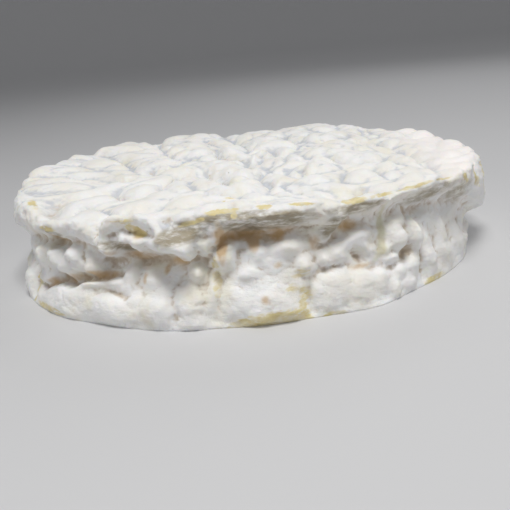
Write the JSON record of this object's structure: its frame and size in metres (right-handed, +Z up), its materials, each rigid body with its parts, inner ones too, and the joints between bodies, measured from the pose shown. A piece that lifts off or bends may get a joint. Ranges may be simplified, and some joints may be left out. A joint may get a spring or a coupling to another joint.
{
  "type": "cheese wheel",
  "caption": "Small uncut soft-ripened cheese wheel: a low round with a folded white rind, an overhanging wrinkled rim, a drawn-in waist and a bulging foot, resting on its flat base.",
  "frame": {"origin": "on the surface the wheel rests on, below the middle of its bounding box", "axes": "+Z up through the flat top, -Y towards the side with the drooping rim, +X to that side's right"},
  "size_m": [0.1308, 0.1276, 0.0286],
  "materials": {
    "white_rind": "matt, velvety white mould rind with cream and ochre worn patches"
  },
  "bodies": {
    "root": {"cheese_wheel": "white_rind"}
  },
  "joints": []
}
